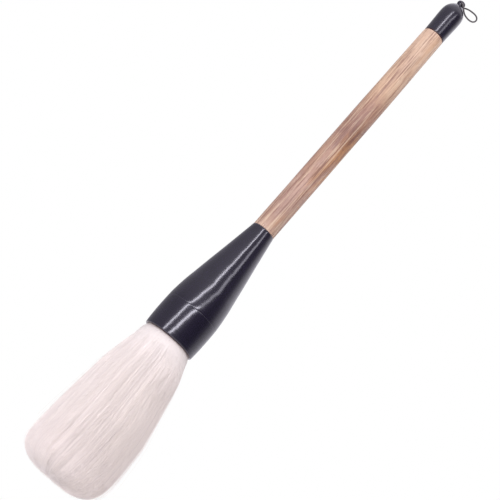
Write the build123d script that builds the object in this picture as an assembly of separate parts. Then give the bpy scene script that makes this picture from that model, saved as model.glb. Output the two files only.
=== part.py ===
from build123d import *
import math
import os

# Large calligraphy brush, stored hanging with the hair down.
# The origin is on the brush's axis, at the centre of the cross-drilled eye
# that carries the hanging loop. +Z runs along the brush, towards the knob.
# The eye runs along Y, and the loop stands out towards +X.
# All sizes are in millimetres.

# ---- driving dimensions -------------------------------------------------
# joints between the turned pieces, along Z
z_knob_seat = -1.35        # knob on the cap's dome
z_cap_joint = -31.9        # cap on the handle
z_cone_joint = -218.7      # handle on the ferrule cone
z_cup_joint = -292.0       # cone on the ferrule cup
z_mouth = -316.4           # lip of the cup, where the hair comes out
z_tip = -431.6             # blunt end of the hair

# handle
handle_r = 8.40            # straight lower stretch, where the hand holds it
handle_grip_length = 113.0
handle_top_r = 7.90
handle_bore_r = 5.0        # natural hollow of the culm
end_break = 0.30           # broken edges at the joints

# cap and knob
cap_joint_r = 7.80
cap_shoulder_r = 8.43
cap_tenon_length = 15.0
knob_r = 3.10
knob_top = 2.75
knob_peg_r = 1.5
knob_peg_length = 6.0
eye_r = 0.68               # cross hole for the loop

# ferrule
cone_small_r = 8.52
cone_large_r = 19.62
cup_max_r = 19.70
cup_bore_r = 17.40
cup_depth = 21.0
cup_spigot_r = 12.0
cup_spigot_length = 8.0
dowel_r = handle_bore_r
dowel_in_handle = 18.0
dowel_in_cone = 16.0

# hair
bend_limit = 25.0          # degrees, each way, at the mouth
ball_r = 17.0              # round top of the moving hair, centred on the bend
ball_gap = 0.30            # clearance in the root's hollow
core_r = 12.0
core_end = 6.0             # the core stops this far inside the veil's end
root_depth = 19.4
root_skirt = 6.0           # the root's lower edge, above the lip
binding_low = 12.0         # binding thread, above the lip
binding_turns = 5
thread_d = 0.9

# hanging loop
cord_d = 1.15

os.makedirs("parts", exist_ok=True)


def ring(edges):
    """A closed profile in the XZ half plane, turned about Z."""
    face = Plane.XZ * Face(Wire(edges))
    return revolve(face, axis=Axis.Z, revolution_arc=360)


def poly(*points):
    """The straight edges through points, in order."""
    return [Line(a, b) for a, b in zip(points, points[1:])]


# ---- handle: bamboo culm, hollow, straight and then slightly tapered ----
z_grip_top = z_cone_joint + handle_grip_length
handle = ring(
    poly(
        (handle_bore_r, z_cone_joint),
        (handle_r - end_break, z_cone_joint),
        (handle_r, z_cone_joint + end_break),
        (handle_r, z_grip_top),
        (handle_top_r, z_cap_joint - end_break),
        (handle_top_r - end_break, z_cap_joint),
        (handle_bore_r, z_cap_joint),
        (handle_bore_r, z_cone_joint),
    )
)

# ---- dowel between the handle and the ferrule cone ----------------------
handle_dowel = ring(
    poly(
        (0, z_cone_joint - dowel_in_cone),
        (dowel_r - 0.8, z_cone_joint - dowel_in_cone),
        (dowel_r, z_cone_joint - dowel_in_cone + 0.8),
        (dowel_r, z_cone_joint + dowel_in_handle - 0.8),
        (dowel_r - 0.8, z_cone_joint + dowel_in_handle),
        (0, z_cone_joint + dowel_in_handle),
        (0, z_cone_joint - dowel_in_cone),
    )
)

# ---- tail cap: flared barrel, domed shoulder, tenon in the culm ---------
dome = [
    (cap_shoulder_r, -13.0),
    (8.38, -11.3),
    (8.13, -9.3),
    (7.56, -7.3),
    (6.68, -5.6),
    (5.50, -4.1),
    (4.15, -2.75),
    (2.98, -1.85),
    (2.62, z_knob_seat),
]
cap_side = [
    (cap_joint_r, z_cap_joint + end_break),
    (7.98, -27.7),
    (8.12, -23.2),
    (8.27, -18.9),
    (8.40, -15.5),
    (cap_shoulder_r, -13.0),
]
peg_seat = z_knob_seat - knob_peg_length - 0.4
tail_cap = ring(
    poly(
        (0, z_cap_joint - cap_tenon_length),
        (handle_bore_r - 0.6, z_cap_joint - cap_tenon_length),
        (handle_bore_r, z_cap_joint - cap_tenon_length + 0.6),
        (handle_bore_r, z_cap_joint),
        (cap_joint_r - end_break, z_cap_joint),
        (cap_joint_r, z_cap_joint + end_break),
    )
    + [
        Spline(*cap_side, tangents=[(0, 1), (0, 1)]),
        Spline(*dome, tangents=[(0, 1), (-0.35, 1)]),
    ]
    + poly(
        (2.62, z_knob_seat),
        (knob_peg_r, z_knob_seat),
        (knob_peg_r, peg_seat),
        (0, peg_seat),
        (0, z_cap_joint - cap_tenon_length),
    )
)

# ---- hanging knob: rounded barrel on a short neck, with the eye ---------
hanging_knob = ring(
    poly(
        (0, peg_seat + 0.4),
        (knob_peg_r, peg_seat + 0.4),
        (knob_peg_r, z_knob_seat),
        (2.62, z_knob_seat),
    )
    + [
        Spline(
            (2.62, z_knob_seat),
            (2.86, -0.65),
            (3.05, 0.05),
            (knob_r, 0.75),
            (2.88, 1.55),
            (2.25, 2.25),
            (1.20, 2.65),
            (0, knob_top),
            tangents=[(0.1, 1), (-1, 0)],
        )
    ]
    + poly((0, knob_top), (0, peg_seat + 0.4))
)
hanging_knob -= Plane.XZ * Cylinder(eye_r, 20)
eye_mouths = [e for e in hanging_knob.edges() if abs(e.center().Z) < 0.3 and abs(e.center().Y) > 2.0]
hanging_knob = fillet(eye_mouths, 0.25)

# ---- ferrule cone -------------------------------------------------------
cone_side = [
    (cone_small_r, z_cone_joint - end_break),
    (9.10, -222.6),
    (10.14, -229.05),
    (12.38, -242.7),
    (14.71, -256.3),
    (16.93, -269.8),
    (18.05, -276.5),
    (18.86, -282.8),
    (19.28, -286.8),
    (19.57, -290.2),
    (cone_large_r, z_cup_joint + 0.25),
]
ferrule_cone = ring(
    [Spline(*cone_side, tangents=[(0.15, -1), (0.03, -1)])]
    + poly(
        (cone_large_r, z_cup_joint + 0.25),
        (cone_large_r - 0.25, z_cup_joint),
        (cup_spigot_r, z_cup_joint),
        (cup_spigot_r, z_cup_joint + cup_spigot_length + 0.5),
        (0, z_cup_joint + cup_spigot_length + 0.5),
        (0, z_cone_joint - dowel_in_cone),
        (dowel_r, z_cone_joint - dowel_in_cone),
        (dowel_r, z_cone_joint),
        (cone_small_r - end_break, z_cone_joint),
        (cone_small_r, z_cone_joint - end_break),
    )
)

# ---- ferrule cup: collar with a full round lip, bored for the hair ------
cup_side = [
    (19.63, z_cup_joint - 0.25),
    (19.69, -295.5),
    (cup_max_r, -299.5),
    (19.64, -304.5),
    (19.50, -309.7),
    (19.34, -313.0),
]
lip = [
    (19.34, -313.0),
    (19.12, -314.9),
    (18.50, -316.05),
    (17.95, z_mouth),
]
ferrule_cup = ring(
    poly(
        (0, z_mouth + cup_depth),
        (0, z_cup_joint + cup_spigot_length),
        (cup_spigot_r - 0.4, z_cup_joint + cup_spigot_length),
        (cup_spigot_r, z_cup_joint + cup_spigot_length - 0.4),
        (cup_spigot_r, z_cup_joint),
        (19.38, z_cup_joint),
        (19.63, z_cup_joint - 0.25),
    )
    + [
        Spline(*cup_side, tangents=[(0.05, -1), (-0.10, -1)]),
        Spline(*lip, tangents=[(-0.10, -1), (-1, -0.05)]),
        ThreePointArc((17.95, z_mouth), (17.56, z_mouth + 0.16), (cup_bore_r, z_mouth + 0.55)),
    ]
    + poly(
        (cup_bore_r, z_mouth + 0.55),
        (cup_bore_r, z_mouth + cup_depth),
        (0, z_mouth + cup_depth),
    )
)

# ---- tuft root: bound butt of the hair, hollowed below for the bend -----
hollow_r = ball_r + ball_gap
skirt_r = math.sqrt(hollow_r**2 - root_skirt**2)
hollow_mid = math.radians(50)
groove_top = binding_low + binding_turns * thread_d
groove_r = cup_bore_r - thread_d
tuft_root = ring(
    [
        ThreePointArc(
            (0, z_mouth + hollow_r),
            (hollow_r * math.cos(hollow_mid), z_mouth + hollow_r * math.sin(hollow_mid)),
            (skirt_r, z_mouth + root_skirt),
        )
    ]
    + poly(
        (skirt_r, z_mouth + root_skirt),
        (cup_bore_r, z_mouth + root_skirt),
        (cup_bore_r, z_mouth + binding_low),
        (groove_r, z_mouth + binding_low),
        (groove_r, z_mouth + groove_top),
        (cup_bore_r, z_mouth + groove_top),
        (cup_bore_r, z_mouth + root_depth),
        (0, z_mouth + root_depth),
        (0, z_mouth + hollow_r),
    )
)

# ---- binding thread: wound turns side by side in the root's groove ------
turns = []
for k in range(binding_turns):
    low = z_mouth + binding_low + k * thread_d
    turns.append(
        ThreePointArc(
            (cup_bore_r - 0.35, low),
            (cup_bore_r, low + thread_d / 2),
            (cup_bore_r - 0.35, low + thread_d),
        )
    )
root_binding = ring(
    turns
    + poly(
        (cup_bore_r - 0.35, z_mouth + groove_top),
        (groove_r, z_mouth + groove_top),
        (groove_r, z_mouth + binding_low),
        (cup_bore_r - 0.35, z_mouth + binding_low),
    )
)

# ---- resin bed between the root and the cup's floor ---------------------
root_resin = ring(
    poly(
        (0, z_mouth + root_depth),
        (cup_bore_r, z_mouth + root_depth),
        (cup_bore_r, z_mouth + cup_depth),
        (0, z_mouth + cup_depth),
        (0, z_mouth + root_depth),
    )
)

# ---- moving hair --------------------------------------------------------
# The top is a ball about the bend, so that it turns inside the cup. Below
# the lip the side follows the ball to a little past the bend's limit, and
# then runs out from the bend's centre to the outside of the hair.
cut = math.radians(bend_limit + 2.0)
cut_r, cut_z = ball_r * math.cos(cut), z_mouth - ball_r * math.sin(cut)
flare_r = 20.4
flare_z = z_mouth - flare_r * math.tan(cut)
core_mid = math.radians(70)
core_top = z_mouth + math.sqrt(ball_r**2 - core_r**2)
belly = [
    (flare_r, flare_z),
    (22.8, -335.6),
    (24.3, -343.0),
    (26.7, -355.8),
    (29.0, -373.7),
    (30.6, -392.7),
    (31.1, -408.0),
    (30.6, -418.5),
    (29.0, -423.2),
    (25.6, -427.0),
    (20.5, -429.6),
    (12.0, -431.2),
    (0, z_tip),
]
core_side = [
    (core_r, z_mouth - 6.0),
    (13.5, -338.0),
    (17.5, -362.0),
    (21.0, -388.0),
    (20.5, -410.0),
    (14.0, -422.0),
    (0, z_tip + core_end),
]
tuft_core = ring(
    [
        ThreePointArc(
            (0, z_mouth + ball_r),
            (ball_r * math.cos(core_mid), z_mouth + ball_r * math.sin(core_mid)),
            (core_r, core_top),
        )
    ]
    + poly((core_r, core_top), core_side[0])
    + [Spline(*core_side, tangents=[(0, -1), (-1, 0)])]
    + poly(core_side[-1], (0, z_mouth + ball_r))
)
cover_mid = math.radians(10)
tuft_cover = ring(
    [
        ThreePointArc(
            (core_r, core_top),
            (ball_r * math.cos(cover_mid), z_mouth + ball_r * math.sin(cover_mid)),
            (cut_r, cut_z),
        )
    ]
    + poly((cut_r, cut_z), (flare_r, flare_z))
    + [Spline(*belly, tangents=[(0.36, -1), (-1, 0)])]
    + poly((0, z_tip), core_side[-1])
    + [Spline(*core_side, tangents=[(0, -1), (-1, 0)])]
    + poly(core_side[0], (core_r, core_top))
)

# ---- hanging loop -------------------------------------------------------
# Both ends lie in the eye. The front strand comes round the knob and falls
# along the dome, and the back strand comes round it and runs level.
route = [
    (0.00, -0.12, 0.00),
    (0.015, -1.75, 0.00),
    (0.00, -3.30, 0.00),
    (0.25, -4.35, -0.25),
    (1.00, -5.15, -1.10),
    (2.20, -5.60, -2.45),
    (3.50, -5.75, -3.90),
    (4.80, -5.55, -5.10),
    (6.05, -4.90, -5.75),
    (7.40, -4.00, -5.95),
    (8.90, -3.00, -5.85),
    (10.45, -2.00, -5.60),
    (12.00, -1.15, -5.15),
    (13.50, -0.55, -4.50),
    (14.80, -0.20, -3.45),
    (15.45, 0.00, -1.95),
    (15.30, 0.00, -0.35),
    (14.25, 0.00, 0.90),
    (12.70, 0.10, 1.60),
    (10.90, 0.40, 1.92),
    (8.90, 1.00, 2.12),
    (6.95, 1.85, 2.28),
    (5.25, 2.90, 2.35),
    (3.75, 4.05, 2.15),
    (2.40, 4.80, 1.65),
    (1.10, 5.00, 0.90),
    (0.25, 4.35, 0.25),
    (0.00, 3.30, 0.00),
    (0.015, 1.75, 0.00),
    (0.00, 0.12, 0.00),
]
pts = [Vector(*p) for p in route]
radii = []
for a, b, c in zip(pts, pts[1:], pts[2:]):
    turn = math.radians((b - a).get_angle(c - b))
    radii.append(0.45 * min((b - a).length, (c - b).length) / math.tan(turn / 2))
print("loop radii", [round(r, 2) for r in radii])
path = FilletPolyline(*pts, radius=radii)
start = Plane(origin=path @ 0, z_dir=path % 0)
hanging_loop = sweep(start * Circle(cord_d / 2), path=path)
print(
    "loop length",
    round(path.length, 2),
    "volume",
    round(hanging_loop.volume, 3),
    "section x length",
    round(math.pi * cord_d**2 / 4 * path.length, 3),
)

for name, solid in {
    "handle": handle,
    "handle_dowel": handle_dowel,
    "tail_cap": tail_cap,
    "hanging_knob": hanging_knob,
    "ferrule_cone": ferrule_cone,
    "ferrule_cup": ferrule_cup,
    "tuft_root": tuft_root,
    "root_binding": root_binding,
    "root_resin": root_resin,
    "tuft_core": tuft_core,
    "tuft_cover": tuft_cover,
    "hanging_loop": hanging_loop,
}.items():
    export_step(solid, f"parts/{name}.step")
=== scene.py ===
import math

import bpy
import numpy as np
from mathutils import Vector, Matrix


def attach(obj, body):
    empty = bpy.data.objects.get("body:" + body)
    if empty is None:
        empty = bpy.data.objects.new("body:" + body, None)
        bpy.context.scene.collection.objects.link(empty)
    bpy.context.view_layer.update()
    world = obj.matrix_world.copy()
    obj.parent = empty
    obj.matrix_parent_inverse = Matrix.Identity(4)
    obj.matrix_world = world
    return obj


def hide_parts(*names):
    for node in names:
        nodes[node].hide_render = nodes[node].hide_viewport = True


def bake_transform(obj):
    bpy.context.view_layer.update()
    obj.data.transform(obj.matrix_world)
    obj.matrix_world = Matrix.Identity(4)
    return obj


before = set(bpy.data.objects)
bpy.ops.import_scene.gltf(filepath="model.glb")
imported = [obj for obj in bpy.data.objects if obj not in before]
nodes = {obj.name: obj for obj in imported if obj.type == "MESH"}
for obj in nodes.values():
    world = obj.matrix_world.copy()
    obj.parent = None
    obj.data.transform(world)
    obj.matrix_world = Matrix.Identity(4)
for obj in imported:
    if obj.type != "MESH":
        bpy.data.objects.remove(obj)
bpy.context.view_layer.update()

MM = 0.001
rng = np.random.default_rng(49)
scene = bpy.context.scene

# ---------------------------------------------------------------- frame data
# millimetres along Z, the same planes as the CAD pieces
Z_KNOB, Z_CAP, Z_CONE, Z_CUP, Z_MOUTH, Z_TIP = -1.35, -31.9, -218.7, -292.0, -316.4, -431.6

# ---------------------------------------------------------------- camera
TILT = math.radians(14.0)
look = Vector((0.0, math.cos(TILT), math.sin(TILT)))
along = Vector((0.0, -math.sin(TILT), math.cos(TILT)))
across = Vector((1.0, 0.0, 0.0))
ROLL_C, ROLL_S = 0.65730, 0.75364
cam_x = along * ROLL_C + across * ROLL_S
cam_y = along * ROLL_S - across * ROLL_C
target = Vector((0.0, 0.0, -0.2359))
cam_data = bpy.data.cameras.new("camera")
cam = bpy.data.objects.new("camera", cam_data)
scene.collection.objects.link(cam)
cam_data.sensor_width = 36.0
cam_data.lens = 102.08
cam_data.shift_x = 0.00628
cam_data.shift_y = 0.00038
cam_data.clip_start, cam_data.clip_end = 0.05, 60.0
m = Matrix.Identity(4)
m.col[0][:3], m.col[1][:3], m.col[2][:3] = cam_x, cam_y, -look
m.col[3][:3] = target - look * 0.9406
cam.matrix_world = m
scene.camera = cam


# ---------------------------------------------------------------- hanging loop
def move_to(obj):
    scene.collection.objects.link(obj)
    return obj


LOOP_ROUTE = [
    (0.00, -0.12, 0.00),
    (0.015, -1.75, 0.00),
    (0.00, -3.30, 0.00),
    (0.25, -4.35, -0.25),
    (1.00, -5.15, -1.10),
    (2.20, -5.60, -2.45),
    (3.50, -5.75, -3.90),
    (4.80, -5.55, -5.10),
    (6.05, -4.90, -5.75),
    (7.40, -4.00, -5.95),
    (8.90, -3.00, -5.85),
    (10.45, -2.00, -5.60),
    (12.00, -1.15, -5.15),
    (13.50, -0.55, -4.50),
    (14.80, -0.20, -3.45),
    (15.45, 0.00, -1.95),
    (15.30, 0.00, -0.35),
    (14.25, 0.00, 0.90),
    (12.70, 0.10, 1.60),
    (10.90, 0.40, 1.92),
    (8.90, 1.00, 2.12),
    (6.95, 1.85, 2.28),
    (5.25, 2.90, 2.35),
    (3.75, 4.05, 2.15),
    (2.40, 4.80, 1.65),
    (1.10, 5.00, 0.90),
    (0.25, 4.35, 0.25),
    (0.00, 3.30, 0.00),
    (0.015, 1.75, 0.00),
    (0.00, 0.12, 0.00),
]
CORD_D = 1.15


def nurbs(name, points):
    data = bpy.data.curves.new(name, "CURVE")
    data.dimensions = "3D"
    spline = data.splines.new("NURBS")
    spline.points.add(len(points) - 1)
    for p, q in zip(spline.points, points):
        p.co = (q[0] * MM, q[1] * MM, q[2] * MM, 1.0)
    spline.order_u = 3
    spline.use_endpoint_u = True
    spline.resolution_u = 14
    return data


def line_of(data):
    """The points of a curve's line, in order, in metres."""
    tmp = bpy.data.objects.new("line_tmp", data)
    scene.collection.objects.link(tmp)
    bpy.context.view_layer.update()
    mesh = bpy.data.meshes.new_from_object(tmp.evaluated_get(bpy.context.evaluated_depsgraph_get()))
    pts = np.array([v.co[:] for v in mesh.vertices], float)
    bpy.data.objects.remove(tmp)
    bpy.data.meshes.remove(mesh)
    return pts


def mesh_object(name, verts, faces, smooth=True):
    mesh = bpy.data.meshes.new(name)
    verts = np.asarray(verts, np.float32)
    faces = np.asarray(faces, np.int32)
    n = faces.shape[1]
    mesh.vertices.add(len(verts))
    mesh.vertices.foreach_set("co", verts.ravel())
    mesh.loops.add(faces.size)
    mesh.loops.foreach_set("vertex_index", faces.ravel())
    mesh.polygons.add(len(faces))
    mesh.polygons.foreach_set("loop_start", np.arange(0, faces.size, n, dtype=np.int32))
    mesh.polygons.foreach_set("loop_total", np.full(len(faces), n, np.int32))
    mesh.update(calc_edges=True)
    mesh.validate()
    mesh.polygons.foreach_set("use_smooth", np.full(len(mesh.polygons), smooth))
    return move_to(bpy.data.objects.new(name, mesh))


def twisted_cord(name, pts, diameter, lobes=3, pitch=2.4, sides=18):
    """A laid cord: a tube of lobed section that turns along its line. Its line is pts, in metres."""
    step = np.linalg.norm(np.diff(pts, axis=0), axis=1)
    at = np.concatenate([[0], np.cumsum(step)])
    n = int(at[-1] / (0.16 * MM))
    s = np.linspace(0, at[-1], n)
    line = np.stack([np.interp(s, at, pts[:, k]) for k in range(3)], 1)
    tan = np.gradient(line, axis=0)
    tan /= np.linalg.norm(tan, axis=1)[:, None]
    normal = np.zeros_like(tan)
    ref = np.array([0.0, 0.0, 1.0])
    for i in range(n):
        ref = ref - tan[i] * (ref @ tan[i])
        ref /= np.linalg.norm(ref)
        normal[i] = ref
    side = np.cross(tan, normal)
    phi = np.linspace(0, 2 * np.pi, sides, endpoint=False)
    turn = s[:, None] / (pitch * MM) * 2 * np.pi
    lobe = np.abs(np.cos((phi[None, :] - turn) * lobes / 2))
    r = diameter * MM / 2 * (0.84 + 0.17 * lobe**0.7)
    taper = np.clip(np.minimum(s, at[-1] - s) / (0.25 * MM), 0.0, 1.0)
    r = r * (0.55 + 0.45 * np.sqrt(taper))[:, None]
    v = line[:, None] + normal[:, None] * (r * np.cos(phi))[..., None] + side[:, None] * (r * np.sin(phi))[..., None]
    v = v.reshape(-1, 3)
    i, j = np.meshgrid(np.arange(n - 1), np.arange(sides), indexing="ij")
    k = (j + 1) % sides
    f = np.stack([i * sides + j, i * sides + k, (i + 1) * sides + k, (i + 1) * sides + j], -1).reshape(-1, 4)
    caps = [len(v), len(v) + 1]
    v = np.vstack([v, line[0], line[-1]])
    tri = [(caps[0], (b + 1) % sides, b, b) for b in range(sides)]
    obj = mesh_object(name, v, f)
    import bmesh
    bm = bmesh.new()
    bm.from_mesh(obj.data)
    bm.verts.ensure_lookup_table()
    last = (n - 1) * sides
    for b in range(sides):
        c = (b + 1) % sides
        bm.faces.new((bm.verts[caps[0]], bm.verts[c], bm.verts[b]))
        bm.faces.new((bm.verts[caps[1]], bm.verts[last + b], bm.verts[last + c]))
    bmesh.ops.recalc_face_normals(bm, faces=bm.faces)
    for face in bm.faces:
        face.smooth = True
    bm.to_mesh(obj.data)
    bm.free()
    return obj, line, float(at[-1])


loop_line = line_of(nurbs("loop_route", LOOP_ROUTE))
cord, cord_line, cord_len = twisted_cord("hanging_cord", loop_line, CORD_D)
print("cord length mm", cord_len / MM)
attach(cord, "loop")
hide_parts("hanging_loop")


# ---------------------------------------------------------------- mesh helpers
def pchip(x, y, q):
    """Monotone cubic through points, for profiles."""
    x, y, q = np.asarray(x, float), np.asarray(y, float), np.asarray(q, float)
    flip = x[0] > x[-1]
    if flip:
        x, y = x[::-1], y[::-1]
    h, d = np.diff(x), np.diff(y) / np.diff(x)
    s = np.zeros_like(y)
    for i in range(1, len(y) - 1):
        if d[i - 1] * d[i] > 0:
            w1, w2 = 2 * h[i] + h[i - 1], h[i] + 2 * h[i - 1]
            s[i] = (w1 + w2) / (w1 / d[i - 1] + w2 / d[i])
    s[0], s[-1] = d[0], d[-1]
    i = np.clip(np.searchsorted(x, q) - 1, 0, len(h) - 1)
    t = (q - x[i]) / h[i]
    return (
        y[i] * (1 + 2 * t) * (1 - t) ** 2
        + s[i] * h[i] * t * (1 - t) ** 2
        + y[i + 1] * t * t * (3 - 2 * t)
        + s[i + 1] * h[i] * t * t * (t - 1)
    )


def wave_field(theta, z, seed, terms):
    """Sum of cosines in angle (whole numbers, so that it wraps) and z. terms: (amplitude, lowest and highest number around, lowest and highest wave length in mm, how many)."""
    g = np.random.default_rng(seed)
    out = np.zeros(np.broadcast(theta, z).shape)
    for amp, n0, n1, l0, l1, many in terms:
        for _ in range(many):
            n = g.integers(n0, n1 + 1)
            wl = g.uniform(l0, l1) * g.choice([-1, 1])
            out += amp / math.sqrt(many) * 1.41 * np.cos(n * theta + 2 * np.pi * z / wl + g.uniform(0, 2 * np.pi))
    return out


def lathe(name, rows, around=192, relief=None):
    """A closed turned mesh. rows: (r, z, w) in mm round the closed section, w how much of relief(theta, z) the row takes. Rows on the axis become one point."""
    theta = np.linspace(0, 2 * np.pi, around, endpoint=False)
    rows = np.array(rows, float)
    r = np.repeat(rows[:, :1], around, 1)
    z = np.repeat(rows[:, 1:2], around, 1)
    if relief is not None:
        r = r + relief(theta[None, :], z) * rows[:, 2:3]
    v = np.stack([r * np.cos(theta), r * np.sin(theta), z], -1) * MM
    on_axis = rows[:, 0] < 1e-6
    verts, index = [], np.zeros((len(rows), around), int)
    for i in range(len(rows)):
        if on_axis[i]:
            index[i] = len(verts)
            verts.append((0, 0, rows[i, 1] * MM))
        else:
            index[i] = np.arange(around) + len(verts)
            verts.extend(v[i])
    quads, tris = [], []
    closed = not (on_axis[0] and on_axis[-1])
    pairs = [(i, i + 1) for i in range(len(rows) - 1)] + ([(len(rows) - 1, 0)] if closed else [])
    for a, b in pairs:
        if on_axis[a] and on_axis[b]:
            continue
        A, B = index[a], index[b]
        A2, B2 = np.roll(A, -1), np.roll(B, -1)
        if on_axis[a]:
            tris.append(np.stack([A, B2, B], 1))
        elif on_axis[b]:
            tris.append(np.stack([A, A2, B], 1))
        else:
            quads.append(np.stack([A, A2, B2, B], 1))
    mesh = bpy.data.meshes.new(name)
    faces = [f for q in quads for f in q.tolist()] + [f for t in tris for f in t.tolist()]
    mesh.from_pydata([tuple(p) for p in verts], [], faces)
    import bmesh
    bm = bmesh.new()
    bm.from_mesh(mesh)
    bmesh.ops.recalc_face_normals(bm, faces=bm.faces)
    for face in bm.faces:
        face.smooth = True
    bm.to_mesh(mesh)
    bm.free()
    mesh.update()
    obj = move_to(bpy.data.objects.new(name, mesh))
    # hard corners of the section stay crisp
    try:
        mesh.set_sharp_from_angle(angle=math.radians(32))
    except AttributeError:
        pass
    return obj


def side(points, step=0.8, w=1.0):
    """Rows down an outer side given by (r, z) points, smoothly."""
    p = np.array(points, float)
    n = max(3, int(abs(p[-1, 1] - p[0, 1]) / step))
    z = np.linspace(p[0, 1], p[-1, 1], n)
    return [(r, q, w) for r, q in zip(pchip(p[:, 1], p[:, 0], z), z)]


def arc_rows(points, n=10, w=1.0):
    """Rows along a smooth curve through (r, z) points, by chord length."""
    p = np.array(points, float)
    t = np.concatenate([[0], np.cumsum(np.linalg.norm(np.diff(p, axis=0), axis=1))])
    q = np.linspace(0, t[-1], n)
    return [(a, b, w) for a, b in zip(pchip(t, p[:, 0], q), pchip(t, p[:, 1], q))]


def flat(points, w=0.0):
    return [(r, z, w) for r, z in points]


# ---------------------------------------------------------------- node helpers
def material(name):
    mat = bpy.data.materials.new(name)
    mat.use_nodes = True
    nt = mat.node_tree
    nt.nodes.clear()
    out = nt.nodes.new("ShaderNodeOutputMaterial")
    shader = nt.nodes.new("ShaderNodeBsdfPrincipled")
    nt.links.new(shader.outputs["BSDF"], out.inputs["Surface"])
    return mat, nt, shader, out


class Net:
    """Short names for making nodes."""

    def __init__(self, nt):
        self.nt = nt

    def link(self, a, b):
        self.nt.links.new(a, b)

    def coord(self):
        return self.nt.nodes.new("ShaderNodeTexCoord").outputs["Object"]

    def scale(self, vec, xyz, rot=(0, 0, 0), loc=(0, 0, 0)):
        n = self.nt.nodes.new("ShaderNodeMapping")
        n.inputs["Scale"].default_value = xyz
        n.inputs["Rotation"].default_value = rot
        n.inputs["Location"].default_value = loc
        self.link(vec, n.inputs["Vector"])
        return n.outputs["Vector"]

    def noise(self, vec, scale=1.0, detail=3.0, rough=0.5, distort=0.0, dims="3D", kind="FBM"):
        n = self.nt.nodes.new("ShaderNodeTexNoise")
        n.noise_dimensions = dims
        n.inputs["Scale"].default_value = scale
        n.inputs["Detail"].default_value = detail
        n.inputs["Roughness"].default_value = rough
        n.inputs["Distortion"].default_value = distort
        self.link(vec, n.inputs["Vector"])
        return n.outputs["Fac"]

    def voronoi(self, vec, scale=1.0, feature="F1", randomness=1.0):
        n = self.nt.nodes.new("ShaderNodeTexVoronoi")
        n.feature = feature
        n.inputs["Scale"].default_value = scale
        n.inputs["Randomness"].default_value = randomness
        self.link(vec, n.inputs["Vector"])
        return n.outputs["Distance"]

    def ramp(self, fac, stops, kind="LINEAR"):
        n = self.nt.nodes.new("ShaderNodeValToRGB")
        n.color_ramp.interpolation = kind
        e = n.color_ramp.elements
        while len(e) > 1:
            e.remove(e[-1])
        e[0].position, e[0].color = stops[0][0], (*stops[0][1], 1) if len(stops[0][1]) == 3 else stops[0][1]
        for pos, col in stops[1:]:
            k = e.new(pos)
            k.color = (*col, 1) if len(col) == 3 else col
        self.link(fac, n.inputs["Fac"])
        return n.outputs["Color"]

    def grey(self, fac, stops):
        return self.ramp(fac, [(p, (v, v, v)) for p, v in stops])

    def mix(self, fac, a, b, mode="MIX"):
        n = self.nt.nodes.new("ShaderNodeMix")
        n.data_type = "RGBA"
        n.blend_type = mode
        for sock, val in ((n.inputs[0], fac), (n.inputs[6], a), (n.inputs[7], b)):
            if isinstance(val, (int, float)):
                sock.default_value = val
            elif isinstance(val, tuple):
                sock.default_value = (*val, 1) if len(val) == 3 else val
            else:
                self.link(val, sock)
        return n.outputs[2]

    def math(self, op, a, b=None, c=None, clamp=False):
        n = self.nt.nodes.new("ShaderNodeMath")
        n.operation = op
        n.use_clamp = clamp
        for i, val in enumerate((a, b, c)):
            if val is None:
                continue
            if isinstance(val, (int, float)):
                n.inputs[i].default_value = val
            else:
                self.link(val, n.inputs[i])
        return n.outputs[0]

    def bump(self, height, strength, distance, normal=None):
        n = self.nt.nodes.new("ShaderNodeBump")
        n.inputs["Strength"].default_value = strength
        n.inputs["Distance"].default_value = distance
        self.link(height, n.inputs["Height"])
        if normal is not None:
            self.link(normal, n.inputs["Normal"])
        return n.outputs["Normal"]

    def z(self, vec):
        n = self.nt.nodes.new("ShaderNodeSeparateXYZ")
        self.link(vec, n.inputs[0])
        return n.outputs["Z"]

    def attribute(self, name):
        n = self.nt.nodes.new("ShaderNodeAttribute")
        n.attribute_name = name
        return n.outputs["Fac"]


def lin(r, g, b):
    """An sRGB colour, 0 to 255, as linear values."""
    f = lambda c: c / 12.92 if c <= 0.04045 else ((c + 0.055) / 1.055) ** 2.4
    return tuple(f(c / 255) for c in (r, g, b))


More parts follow.
